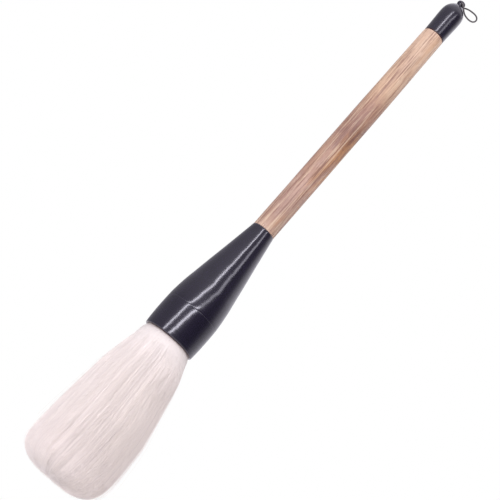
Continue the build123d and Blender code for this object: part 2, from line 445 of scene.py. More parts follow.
# ---------------------------------------------------------------- horn
def horn_material(name, seed, warm=None, dull=0.125):
    """Near-black horn with a cool cast. warm is (z high, z low, r out, r in) in m: a rim where thin horn lets brown light through."""
    mat, nt, sh, out = material(name)
    n = Net(nt)
    co = n.coord()
    # fibres run along the piece: fine grey-violet lines in black
    grain = n.noise(n.scale(co, (800, 800, 22), loc=(seed, 0, 0)), 1.0, 5.0, 0.60, 0.3)
    cloud = n.noise(n.scale(co, (60, 60, 18), loc=(0, seed, 0)), 1.0, 3.0, 0.5, 0.8)
    base = n.ramp(grain, [(0.30, (0.0036, 0.0022, 0.0086)), (0.55, (0.0056, 0.0034, 0.0130)), (0.76, (0.0120, 0.0080, 0.0225))])
    tint = n.ramp(cloud, [(0.35, (0.0040, 0.0028, 0.0088)), (0.70, (0.0080, 0.0060, 0.0140))])
    col = n.mix(0.5, base, tint)
    if warm:
        z_hi, z_lo, r_out, r_in = warm
        sep = nt.nodes.new("ShaderNodeSeparateXYZ")
        n.link(co, sep.inputs[0])
        rad = n.math("SQRT", n.math("ADD", n.math("MULTIPLY", sep.outputs["X"], sep.outputs["X"]), n.math("MULTIPLY", sep.outputs["Y"], sep.outputs["Y"])))
        wz = n.math("DIVIDE", n.math("SUBTRACT", z_hi, sep.outputs["Z"]), z_hi - z_lo, clamp=True)
        wr = n.math("DIVIDE", n.math("SUBTRACT", r_out, rad), r_out - r_in, clamp=True)
        thin = n.math("MULTIPLY", wz, wr)
        col = n.mix(thin, col, (0.045, 0.018, 0.014))
        n.link(n.math("SUBTRACT", 0.5, n.math("MULTIPLY", thin, 0.40)), sh.inputs["Specular IOR Level"])
    n.link(col, sh.inputs["Base Color"])
    # hand polish: long soft smears and a few hairline scratches round the piece
    smear = n.noise(n.scale(co, (120, 120, 36), loc=(seed, seed, 1)), 1.0, 3.0, 0.55, 0.3)
    hair = n.noise(n.scale(co, (70, 70, 2600), loc=(2, seed, 0)), 1.0, 2.0, 0.5)
    rough = n.math("ADD", n.math("MULTIPLY", smear, 0.05), n.math("MULTIPLY", hair, 0.003))
    rough = n.math("ADD", rough, dull)
    n.link(rough, sh.inputs["Roughness"])
    sh.inputs["Coat Weight"].default_value = 0.14
    sh.inputs["Coat Roughness"].default_value = 0.24
    sh.inputs["IOR"].default_value = 1.54
    if not warm:
        sh.inputs["Specular IOR Level"].default_value = 0.5
    wobble = n.noise(n.scale(co, (110, 110, 34), loc=(seed, 4, 2)), 1.0, 1.0, 0.5)
    b1 = n.bump(wobble, 0.13, 0.00012)
    b2 = n.bump(grain, 0.003, 0.00004, b1)
    n.link(b2, sh.inputs["Normal"])
    return mat


horn = horn_material("horn_polished", 3.1)
horn_lip = horn_material("horn_lip", 5.3, (-0.3156, -0.3163, 0.0192, 0.0187))
horn_cap = horn_material("horn_cap", 11.7, (-0.0306, -0.0319, 0.0095, 0.0085), 0.165)


# ---------------------------------------------------------------- bamboo
def bamboo_material():
    mat, nt, sh, out = material("bamboo_mottled")
    n = Net(nt)
    co = n.coord()
    z = n.z(co)
    # broad colour along the culm, from the ferrule to the cap
    t = n.math("DIVIDE", n.math("ADD", z, 0.2187), 0.1868, clamp=True)
    wav = n.noise(n.scale(co, (55, 55, 20), loc=(3, 5, 1)), 1.0, 3.0, 0.55, 0.6)
    t2 = n.math("ADD", t, n.math("MULTIPLY", n.math("SUBTRACT", wav, 0.5), 0.10), clamp=True)
    ground = n.ramp(
        t2,
        [
            (0.00, lin(204, 174, 157)),
            (0.03, lin(190, 160, 145)),
            (0.06, lin(182, 151, 138)),
            (0.13, lin(184, 152, 139)),
            (0.22, lin(200, 167, 154)),
            (0.32, lin(184, 151, 138)),
            (0.42, lin(180, 147, 133)),
            (0.47, lin(158, 123, 112)),
            (0.52, lin(150, 116, 106)),
            (0.57, lin(172, 135, 119)),
            (0.63, lin(190, 153, 132)),
            (0.69, lin(214, 181, 156)),
            (0.80, lin(218, 186, 163)),
            (0.90, lin(226, 195, 172)),
            (1.00, lin(228, 198, 178)),
        ],
    )
    # purple-brown mottling, drawn out along the fibre
    sep = nt.nodes.new("ShaderNodeSeparateXYZ")
    n.link(co, sep.inputs[0])
    blot = n.noise(n.scale(co, (210, 210, 62), loc=(1, 8, 3)), 1.0, 5.0, 0.66, 0.8)
    amount = n.grey(t, [(0.0, 0.10), (0.06, 0.42), (0.30, 0.46), (0.46, 0.60), (0.62, 0.60), (0.70, 0.26), (0.84, 0.22), (1.0, 0.15)])
    spot = n.math("MULTIPLY", n.grey(blot, [(0.46, 0.0), (0.62, 1.0)]), amount)
    col = n.mix(spot, ground, lin(150, 112, 106))
    # one dark cloud a little past half way, heavier toward +X
    cloud = n.math("ADD", n.math("ADD", z, n.math("MULTIPLY", n.math("SUBTRACT", blot, 0.5), 0.040)), 0.1335)
    cloud = n.math("SUBTRACT", 1.0, n.math("MULTIPLY", n.math("MULTIPLY", cloud, cloud), 4300.0), clamp=True)
    side_x = n.math("ADD", n.math("MULTIPLY", sep.outputs["X"], 85.0), 0.58, clamp=True)
    col = n.mix(n.math("MULTIPLY", cloud, side_x), col, lin(116, 80, 74))
    # tan-orange patches, more of them on the side that faces +X
    right = n.math("ADD", n.math("MULTIPLY", sep.outputs["X"], 110.0), 0.15, clamp=True)
    warm = n.noise(n.scale(co, (120, 120, 40), loc=(9, 2, 6)), 1.0, 4.0, 0.58, 0.6)
    wlong = n.grey(t, [(0.0, 0.5), (0.12, 0.8), (0.28, 1.0), (0.46, 0.9), (0.56, 0.35), (0.70, 0.5), (1.0, 0.5)])
    wamt = n.math("MULTIPLY", n.grey(warm, [(0.42, 0.0), (0.58, 0.95)]), n.math("MULTIPLY", n.math("ADD", n.math("MULTIPLY", right, 0.80), 0.20), wlong))
    col = n.mix(wamt, col, lin(204, 150, 98))
    # fibres: hair-fine lines along the culm
    fibre = n.noise(n.scale(co, (900, 900, 26), loc=(5, 5, 5)), 1.0, 4.0, 0.68, 0.08)
    col = n.mix(n.grey(fibre, [(0.50, 0.0), (0.59, 0.80)]), col, lin(136, 98, 84))
    pale = n.noise(n.scale(co, (1050, 1050, 30), loc=(1, 9, 7)), 1.0, 4.0, 0.66, 0.06)
    col = n.mix(n.grey(pale, [(0.52, 0.0), (0.62, 0.52)]), col, lin(236, 212, 188))
    broad = n.noise(n.scale(co, (560, 560, 14), loc=(7, 1, 3)), 1.0, 3.0, 0.5, 0.1)
    col = n.mix(n.grey(broad, [(0.50, 0.0), (0.66, 0.26)]), col, lin(158, 122, 110))
    # short dark flecks
    fleck = n.voronoi(n.scale(co, (1200, 1200, 150), loc=(4, 1, 2)), 1.0)
    gate = n.noise(n.scale(co, (260, 260, 60), loc=(6, 6, 6)), 1.0, 2.0, 0.5)
    fl = n.math("MULTIPLY", n.grey(fleck, [(0.08, 1.0), (0.22, 0.0)]), n.grey(gate, [(0.50, 0.0), (0.64, 0.55)]))
    col = n.mix(fl, col, lin(118, 84, 80))
    col = n.mix(1.0, col, (0.70, 0.692, 0.622), "MULTIPLY")
    n.link(col, sh.inputs["Base Color"])
    rough = n.math("ADD", n.math("MULTIPLY", fibre, 0.22), 0.34)
    rough = n.math("ADD", rough, n.math("MULTIPLY", blot, 0.12))
    n.link(rough, sh.inputs["Roughness"])
    sh.inputs["Specular IOR Level"].default_value = 0.36
    sh.inputs["Coat Weight"].default_value = 0.05
    sh.inputs["Coat Roughness"].default_value = 0.30
    b1 = n.bump(fibre, 0.30, 0.00007)
    b2 = n.bump(blot, 0.12, 0.00018, b1)
    n.link(b2, sh.inputs["Normal"])
    return mat


bamboo = bamboo_material()


# ---------------------------------------------------------------- hair
def hair_material(name):
    mat, nt, sh, out = material(name)
    n = Net(nt)
    co = n.coord()
    z = n.z(co)
    t = n.math("DIVIDE", n.math("SUBTRACT", -0.3164, z), 0.1152, clamp=True)
    # colour down the hair from the cup mouth to the tip: darker at the mouth, and paler toward the tip as painted light
    # that offsets the shade the rounded, downward-facing end gets
    ground = n.ramp(
        t,
        [
            (0.00, (0.658, 0.597, 0.536)),
            (0.03, (0.668, 0.623, 0.565)),
            (0.15, (0.801, 0.740, 0.672)),
            (0.35, (0.876, 0.811, 0.736)),
            (0.65, (0.897, 0.830, 0.755)),
            (0.82, (0.901, 0.831, 0.760)),
            (1.00, (0.914, 0.845, 0.773)),
        ],
    )
    tint = n.attribute("tint")
    col = n.mix(n.grey(tint, [(0.0, 0.0), (0.80, 0.0), (1.0, 0.35)]), ground, (0.64, 0.57, 0.53))
    col = n.mix(n.grey(tint, [(0.0, 0.4), (0.25, 0.0)]), col, (0.80, 0.74, 0.73))
    lay = nt.nodes.new("ShaderNodeAttribute")
    lay.attribute_name = "lay"
    streak = n.noise(n.scale(lay.outputs["Vector"], (34, 34, 0.7), loc=(2, 3, 4)), 1.0, 3.0, 0.6, 0.0)
    broad = n.noise(n.scale(lay.outputs["Vector"], (7, 7, 0.35), loc=(5, 1, 2)), 1.0, 2.0, 0.5, 0.0)
    col = n.mix(n.grey(streak, [(0.36, 0.22), (0.54, 0.0)]), col, (0.60, 0.53, 0.50))
    col = n.mix(n.math("MULTIPLY", n.grey(broad, [(0.50, 0.0), (0.68, 1.0)]), n.grey(t, [(0.15, 0.0), (0.8, 0.16)])), col, (0.60, 0.53, 0.50))
    n.link(col, sh.inputs["Base Color"])
    rough = n.math("ADD", n.math("MULTIPLY", streak, 0.20), 0.42)
    n.link(rough, sh.inputs["Roughness"])
    sh.inputs["Specular IOR Level"].default_value = 0.28
    sh.inputs["Sheen Weight"].default_value = 0.12
    sh.inputs["Sheen Roughness"].default_value = 0.5
    geo = nt.nodes.new("ShaderNodeNewGeometry")
    skin_n = nt.nodes.new("ShaderNodeAttribute")
    skin_n.attribute_name = "skin"
    own, shared, both, unit = (nt.nodes.new("ShaderNodeVectorMath") for _ in range(4))
    own.operation, shared.operation, both.operation, unit.operation = "SCALE", "SCALE", "ADD", "NORMALIZE"
    own.inputs["Scale"].default_value = 0.92
    shared.inputs["Scale"].default_value = 0.08
    n.link(geo.outputs["Normal"], own.inputs[0])
    n.link(skin_n.outputs["Vector"], shared.inputs[0])
    n.link(own.outputs[0], both.inputs[0])
    n.link(shared.outputs[0], both.inputs[1])
    n.link(both.outputs[0], unit.inputs[0])
    n.link(n.bump(streak, 0.05, 0.0002, unit.outputs[0]), sh.inputs["Normal"])
    return mat


hair = hair_material("goat_hair")


# ---------------------------------------------------------------- other materials
def cord_material():
    mat, nt, sh, out = material("cord_waxed")
    n = Net(nt)
    co = n.coord()
    fuzz = n.noise(n.scale(co, (5200, 5200, 5200)), 1.0, 4.0, 0.6, 0.3)
    col = n.ramp(fuzz, [(0.35, lin(42, 38, 37)), (0.55, lin(64, 59, 58)), (0.72, lin(92, 85, 83))])
    n.link(col, sh.inputs["Base Color"])
    n.link(n.math("ADD", n.math("MULTIPLY", fuzz, 0.3), 0.45), sh.inputs["Roughness"])
    sh.inputs["Sheen Weight"].default_value = 0.2
    n.link(n.bump(fuzz, 0.5, 0.00006), sh.inputs["Normal"])
    return mat


def fibre_material(name, dark, light, scale, rough=0.7):
    mat, nt, sh, out = material(name)
    n = Net(nt)
    co = n.coord()
    f = n.noise(n.scale(co, scale), 1.0, 4.0, 0.6, 0.3)
    n.link(n.ramp(f, [(0.30, dark), (0.70, light)]), sh.inputs["Base Color"])
    n.link(n.math("ADD", n.math("MULTIPLY", f, 0.2), rough - 0.1), sh.inputs["Roughness"])
    n.link(n.bump(f, 0.4, 0.0002), sh.inputs["Normal"])
    return mat


cord_mat = cord_material()
dowel_mat = fibre_material("dowel_wood", lin(150, 118, 84), lin(205, 174, 132), (900, 900, 40))
root_mat = fibre_material("root_hair", lin(150, 124, 96), lin(214, 190, 160), (2200, 2200, 60))
thread_mat = fibre_material("binding_thread", lin(176, 158, 128), lin(226, 212, 184), (500, 500, 5000))
resin_mat = fibre_material("amber_resin", lin(92, 48, 18), lin(150, 88, 36), (260, 260, 260), 0.25)
core_mat = fibre_material("core_hair", lin(206, 184, 160), lin(238, 222, 206), (1800, 1800, 24))


def dress(obj, mat):
    obj.data.materials.clear()
    obj.data.materials.append(mat)


dress(cord, cord_mat)
dress(nodes["handle_dowel"], dowel_mat)
dress(nodes["tuft_root"], root_mat)
dress(nodes["root_binding"], thread_mat)
dress(nodes["root_resin"], resin_mat)
dress(nodes["tuft_core"], core_mat)
dress(nodes["hanging_knob"], horn_cap)

# ---------------------------------------------------------------- handle
grip_top = Z_CONE + 113.0


def culm_relief(theta, z):
    """Bamboo is not turned: it is a little oval, a little wavy, and ribbed by its fibres."""
    inner = np.clip(np.minimum(z - Z_CONE, Z_CAP - z) / 6.0, 0.15, 1.0)
    broad = wave_field(theta, z, 5, [(0.035, 2, 3, 90, 260, 4), (0.020, 1, 5, 40, 120, 6)])
    ribs = wave_field(theta, z, 6, [(0.010, 18, 44, 120, 400, 16), (0.006, 50, 90, 60, 200, 22)])
    return (broad + ribs) * inner - 0.02


handle = lathe(
    "bamboo_culm",
    flat([(5.0, Z_CAP), (5.0, -60), (5.0, -100), (5.0, -140), (5.0, -180), (5.0, Z_CONE), (8.14, Z_CONE)])
    + [(8.26, Z_CONE + 0.05, 0.1), (8.34, Z_CONE + 0.15, 0.2), (8.39, Z_CONE + 0.32, 0.4)]
    + [(r, z, 1.0) for r, z, _ in side([(8.40, Z_CONE + 0.7), (8.40, grip_top), (7.92, Z_CAP - 0.7)], step=0.62)]
    + [(7.89, Z_CAP - 0.32, 0.4), (7.83, Z_CAP - 0.12, 0.2), (7.74, Z_CAP - 0.03, 0.1), (7.62, Z_CAP, 0.0)],
    around=224,
    relief=culm_relief,
)
dress(handle, bamboo)
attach(handle, "brush")
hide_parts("handle")


# ---------------------------------------------------------------- turned horn
def polish_relief(seed, amp=0.012):
    def f(theta, z):
        return wave_field(theta, z, seed, [(amp, 1, 4, 18, 60, 8), (amp * 0.35, 3, 9, 6, 18, 10)])
    return f


cone = lathe(
    "ferrule_horn_cone",
    flat([(0, Z_CONE - 16), (5.0, Z_CONE - 16), (5.0, Z_CONE), (8.20, Z_CONE)])
    + [(8.36, Z_CONE - 0.05, 0.1), (8.46, Z_CONE - 0.15, 0.3), (8.54, Z_CONE - 0.34, 0.6)]
    + side(
        [(8.64, -219.6), (9.10, -222.6), (10.14, -229.05), (12.38, -242.7), (14.71, -256.3), (16.93, -269.8), (18.05, -276.5), (18.86, -282.8), (19.28, -286.8), (19.55, -290.2), (19.585, -290.9)],
        step=0.5,
    )
    + [(19.594, -291.3, 1.0), (19.598, -291.6, 1.0), (19.597, -291.8, 1.0), (19.588, -291.93, 1.0), (19.565, Z_CUP, 0.8), (19.2, Z_CUP, 0.0)]
    + flat([(12.0, Z_CUP), (12.0, Z_CUP + 8.5), (0, Z_CUP + 8.5)]),
    around=256,
    relief=polish_relief(21),
)
cup = lathe(
    "ferrule_horn_cup",
    flat([(0, Z_CUP + 8.0), (11.6, Z_CUP + 8.0), (12.0, Z_CUP + 7.6), (12.0, Z_CUP), (19.2, Z_CUP)])
    + [(19.570, Z_CUP, 0.8), (19.592, Z_CUP - 0.07, 1.0), (19.606, Z_CUP - 0.22, 1.0), (19.620, Z_CUP - 0.50, 1.0), (19.635, Z_CUP - 0.90, 1.0)]
    + side([(19.655, -293.3), (19.69, -295.5), (19.70, -299.0), (19.64, -304.5), (19.50, -309.7), (19.34, -312.9)], step=0.45)
    + arc_rows([(19.33, -313.1), (19.24, -314.4), (19.14, -315.45), (18.98, -316.02), (18.66, -316.32), (18.25, -316.40), (17.80, -316.36), (17.50, -316.12), (17.40, -315.7)], 26, 0.3)
    + flat([(17.4, -312), (17.4, -305), (17.4, Z_MOUTH + 21.0), (0, Z_MOUTH + 21.0)]),
    around=256,
    relief=polish_relief(21),
)
cap = lathe(
    "tail_horn_cap",
    flat([(0, Z_CAP - 15), (4.4, Z_CAP - 15), (5.0, Z_CAP - 14.4), (5.0, Z_CAP), (7.62, Z_CAP)])
    + [(7.72, Z_CAP + 0.05, 0.1), (7.80, Z_CAP + 0.16, 0.3), (7.85, Z_CAP + 0.36, 0.6)]
    + side([(7.88, -31.3), (7.98, -27.7), (8.12, -23.2), (8.27, -18.9), (8.40, -15.5), (8.43, -13.1)], step=0.45)[:-1]
    + arc_rows([(8.43, -13.1), (8.38, -11.3), (8.13, -9.3), (7.56, -7.3), (6.68, -5.6), (5.50, -4.1), (4.15, -2.75), (2.98, -1.85), (2.62, -1.35)], 60, 0.7)
    + flat([(1.5, -1.35), (1.5, -7.75), (0, -7.75)]),
    around=192,
    relief=polish_relief(23, 0.008),
)
for obj, node, mat in ((cone, "ferrule_cone", horn), (cup, "ferrule_cup", horn_lip), (cap, "tail_cap", horn_cap)):
    dress(obj, mat)
    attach(obj, "brush")
    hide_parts(node)

# ---------------------------------------------------------------- hair: the shape of the tuft
HAIR_Z = [-313.0, -316.4, -317.6, -318.9, -322.8, -326.7, -330.6, -334.5, -338.4, -342.3, -346.2, -350.0, -353.9, -357.8, -361.6, -365.4, -369.3, -373.1, -376.9, -380.7, -384.5, -388.3, -392.1, -396.0, -403.0, -410.0, -416.0, -431.6]
HAIR_R = [16.9, 17.15, 17.8, 18.5, 19.5, 20.4, 21.6, 22.6, 23.4, 24.2, 25.0, 25.65, 26.25, 26.8, 27.3, 27.85, 28.4, 28.95, 29.45, 29.8, 30.05, 30.3, 30.5, 30.65, 30.75, 30.85, 30.9, 30.9]
LEAN_Z = [-313.0, -319.0, -327.0, -334.5, -350.0, -361.6, -373.0, -384.0, -392.0, -403.0, -411.0, -418.0, -425.0, -432.0]
LEAN_X = [0.0, 0.05, 0.75, 1.3, 1.5, 2.0, 2.67, 3.0, 2.8, 2.7, 2.4, 1.8, 1.4, 1.1]
END_RHO = [0.0, 0.38, 0.65, 0.813, 0.92, 0.978, 1.0]
END_Z = [-431.4, -431.0, -429.4, -426.8, -423.0, -418.3, -412.0]


def hair_radius(z):
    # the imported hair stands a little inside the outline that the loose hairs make
    return pchip(HAIR_Z, HAIR_R, z) - 0.80 * np.clip((Z_MOUTH - 5.0 - z) / 75.0, 0, 1)


def hair_lean(z):
    return pchip(LEAN_Z, LEAN_X, z)


def locks(theta, z):
    """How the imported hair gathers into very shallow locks, wider and deeper towards the tip. 0 is a crest, negative is a groove, in mm."""
    t = np.clip((Z_MOUTH - z) / 115.0, 0, 1)
    low = wave_field(theta, z, 31, [(1.0, 7, 15, 900, 3000, 7)])
    mid = wave_field(theta, z, 32, [(1.0, 22, 48, 1200, 4000, 12)])
    fine = wave_field(theta, z, 33, [(1.0, 60, 130, 1500, 5000, 18)])
    g = 0.16 * t**1.3 * low + 0.035 * t**0.8 * mid + (0.006 + 0.010 * t) * fine
    for path, deep, wide in GROOVES:
        zs = [q[0] for q in path]
        at = np.radians(-90.0 + np.interp(-z, [-q for q in zs], [q[1] for q in path]))
        span = np.clip((zs[0] - z) / 12.0, 0, 1) * np.clip((z - zs[-1]) / 6.0 + 1.0, 0, 1)
        gap = np.angle(np.exp(1j * (theta - at)))
        g = g - deep * span**1.5 * np.exp(-((gap / wide) ** 2))
    return g


# (z, degrees round from the side that faces -Y), depth, half-width in radians
GROOVES = [
    ([(-362, 9.0), (-376, 10.0), (-385, 14.0), (-392, 16.5), (-398, 14.5), (-405, 11.5), (-418, 10.0), (-430, 9.0)], 0.32, 0.032),
    ([(-366, -10.0), (-380, -11.0), (-398, -10.0), (-404, -9.0)], 0.15, 0.035),
    ([(-398, -14.0), (-412, -11.0), (-420, -8.0), (-431, -6.0)], 0.21, 0.035),
    ([(-340, 19.0), (-350, 21.0), (-360, 22.5)], 0.14, 0.035),
    ([(-396, 25.0), (-408, 27.0), (-416, 26.0)], 0.20, 0.035),
    ([(-320, 1.0), (-338, 1.5), (-354, 3.0)], 0.09, 0.045),
    ([(-370, -33.0), (-392, -35.0), (-415, -32.0)], 0.14, 0.040),
    ([(-356, 44.0), (-380, 47.0), (-420, 43.0)], 0.18, 0.040),
    ([(-372, 72.0), (-398, 75.0), (-428, 70.0)], 0.22, 0.040),
    ([(-364, 106.0), (-390, 102.0), (-430, 104.0)], 0.26, 0.035),
    ([(-380, 139.0), (-402, 142.0), (-430, 137.0)], 0.22, 0.040),
    ([(-358, 171.0), (-384, 166.0), (-430, 169.0)], 0.26, 0.035),
    ([(-376, 203.0), (-400, 207.0), (-430, 204.0)], 0.21, 0.040),
    ([(-366, 238.0), (-392, 233.0), (-430, 236.0)], 0.24, 0.035),
    ([(-382, 286.0), (-404, 290.0), (-430, 287.0)], 0.20, 0.040),
]

# the rounded end: share of the full radius against z, then by length along it
_rho = np.concatenate([np.linspace(1.0, 0.9, 16), np.linspace(0.89, 0.0, 60)])
_z = pchip(END_RHO, END_Z, _rho)
_len = np.concatenate([[0], np.cumsum(np.hypot(np.diff(_rho) * 30.9, np.diff(_z)))])


def end_curve(length):
    """Share of the radius and z after a length (mm) past z = -412 along the rounded end."""
    return np.interp(length, _len, _rho), np.interp(length, _len, _z)


def skin(z_or_len):
    """Share of the radius and z for a position down the outside: z down to -412, then -412 minus the length along the end."""
    past = np.clip(-412.0 - z_or_len, 0, _len[-1])
    rho, z_end = end_curve(past)
    return rho, np.where(z_or_len > -412.0, z_or_len, z_end)


def tuft_body():
    """The mass of the hair under its outer layer, closed, with the locks in relief."""
    around = 300
    theta = np.linspace(0, 2 * np.pi, around, endpoint=False)
    pos = np.concatenate([np.linspace(-313.0, -320.0, 8), np.linspace(-321.0, -411.5, 92), -412.0 - np.linspace(0.4, _len[-1] - 1.6, 34)])
    rows = []
    for q in pos:
        share, z = skin(np.array([q]))
        share, z = share[0], z[0]
        inset = 0.25 + 0.30 * min(1.0, max(0.0, (-318.0 - z) / 12.0))
        deep = 0.5 * min(1.0, (1 - share) * 3)
        full = hair_radius(np.array([z]))[0]
        r = full * share - inset * share + locks(theta, z) * share**3
        rows.append(np.stack([r, np.full(around, z + inset * (1 - share**2) + deep)], 1))
    rows = np.array(rows)
    x = rows[..., 0] * np.cos(theta) + hair_lean(rows[..., 1])
    y = rows[..., 0] * np.sin(theta)
    v = np.stack([x, y, rows[..., 1]], -1).reshape(-1, 3) * MM
    n = len(rows)
    i, j = np.meshgrid(np.arange(n - 1), np.arange(around), indexing="ij")
    k = (j + 1) % around
    quads = np.stack([i * around + j, (i + 1) * around + j, (i + 1) * around + k, i * around + k], -1).reshape(-1, 4)
    top, bottom = len(v), len(v) + 1
    z_last = float(rows[-1][:, 1].mean())
    v = np.vstack([v, [0, 0, -0.3128], [hair_lean(np.array([z_last]))[0] * MM, 0, (z_last - 0.05) * MM]])
    faces = quads.tolist()
    last = (n - 1) * around
    for b in range(around):
        c = (b + 1) % around
        faces.append([top, b, c])
        faces.append([bottom, last + c, last + b])
    mesh = bpy.data.meshes.new("tuft_body")
    mesh.from_pydata([tuple(p) for p in v], [], faces)
    mesh.polygons.foreach_set("use_smooth", np.ones(len(mesh.polygons), bool))
    tint = mesh.attributes.new("tint", "FLOAT", "POINT")
    tint.data.foreach_set("value", np.full(len(mesh.vertices), 0.5, np.float32))
    mesh.update()
    obj = move_to(bpy.data.objects.new("tuft_body", mesh))
    normals = np.zeros(len(mesh.vertices) * 3, np.float32)
    mesh.vertices.foreach_get("normal", normals)
    skin_n = mesh.attributes.new("skin", "FLOAT_VECTOR", "POINT")
    skin_n.data.foreach_set("vector", normals)
    flow = np.stack([np.cos(theta) + 0 * rows[..., 0], np.sin(theta) + 0 * rows[..., 0], -rows[..., 1] / 100.0], -1).reshape(-1, 3)
    flow = np.vstack([flow, [0, 0, 3.12], [0, 0, 4.3]]).astype(np.float32)
    lay = mesh.attributes.new("lay", "FLOAT_VECTOR", "POINT")
    lay.data.foreach_set("vector", flow.ravel())
    return obj


HEAD = np.array([-312.2, -315.4, -317.2, -319.4, -322.5, -327.0, -333.5, -342.0, -353.0, -366.0, -380.0, -393.0, -403.0])


def strands(name, count, seed, depth_low, depth_high, thick, tail=7, stray=0.0, early=0.0, reach=0.30, sides=3):
    """Single hairs as thin tapered tubes down the outside of the tuft, each with its own end.

    They leave the cup inside its lip and run a little way in over the rounded
    end, down to reach times its radius. depth is how far under the skin, mm.
    """
    g = np.random.default_rng(seed)
    theta0 = (np.arange(count) + g.uniform(-0.6, 0.6, count)) * 2 * np.pi / count
    depth = g.uniform(depth_low, depth_high, count)
    # as many hairs stay on the skin as its shrinking circumference has room for
    room = g.uniform(reach, 1.0, count)
    stop = np.interp(-room, -_rho, _len)
    stop = np.where(g.random(count) < early, g.uniform(-7.0, 2.0, count), stop)
    head = np.repeat(HEAD[None, :], count, 0)
    u = np.linspace(0, 1, tail + 1)[None, 1:]
    ease = 1 - (1 - u) ** 1.3
    rest = -403.0 + (-412.0 - stop[:, None] + 403.0) * ease
    pos = np.concatenate([head, rest], 1)
    share, z = skin(pos)
    t = np.clip((Z_MOUTH - z) / 115.0, 0, 1)
    # each hair drifts a little along its way
    wander = g.normal(0, 0.006, (count, 1)) * t + g.normal(0, 0.002, (count, 1)) * np.sin(2.0 * t * np.pi + g.uniform(0, 6.28, (count, 1)))
    theta = theta0[:, None] + wander
    r = (hair_radius(z) - depth[:, None] * np.clip(t * 12, 0.15, 1)) * share + locks(theta, z) * share**3
    z = z + depth[:, None] * (1 - share**2)
    if stray:
        lift = np.abs(g.normal(0, stray, (count, 1))) * np.clip((t - 0.04) / 0.90, 0, 1)
        r = r + lift * share
        z = z - 0.25 * lift * (1 - share)
    end = np.linspace(0, 1, pos.shape[1])[None, :]
    end = np.clip((end - 0.86) / 0.14, 0, 1) ** 2
    z = z - np.abs(g.normal(0, 0.28, (count, 1))) * end
    x = r * np.cos(theta) + hair_lean(z)
    y = r * np.sin(theta)
    return hair_tubes(name, g, np.stack([x, y, z], -1), theta, share, thick, 0.80, sides)


def inner_tips(name, count, seed, thick, z_top, rough, low=0.0, high=0.97):
    """The ends of the hairs inside the tuft: each runs straight on and stops on the rounded end, at its own length."""
    g = np.random.default_rng(seed)
    theta0 = g.uniform(0, 2 * np.pi, (count, 1))
    rho = np.sqrt(g.uniform(low**2, high**2, (count, 1)))
    stop = pchip(END_RHO, END_Z, rho) + g.normal(0, rough, (count, 1)) - 0.10
    u = np.linspace(0, 1, 4)[None, :]
    z = z_top + (stop - z_top) * u
    theta = theta0 + g.normal(0, 0.010, (count, 1)) * u + 0 * rho
    r = hair_radius(z) * rho * (1 - 0.012 * u**2) + locks(theta, z) * rho**3 + g.normal(0, 0.12, (count, 1)) * u
    x = r * np.cos(theta) + hair_lean(z)
    y = r * np.sin(theta)
    facing = np.stack([np.cos(theta) * (0.25 + rho), np.sin(theta) * (0.25 + rho), -0.9 * np.sqrt(1.02 - rho**2) + 0 * z], -1)
    facing /= np.linalg.norm(facing, axis=2, keepdims=True)
    return hair_tubes(name, g, np.stack([x, y, z], -1), theta, np.ones_like(z), thick, 0.55, 3, facing)


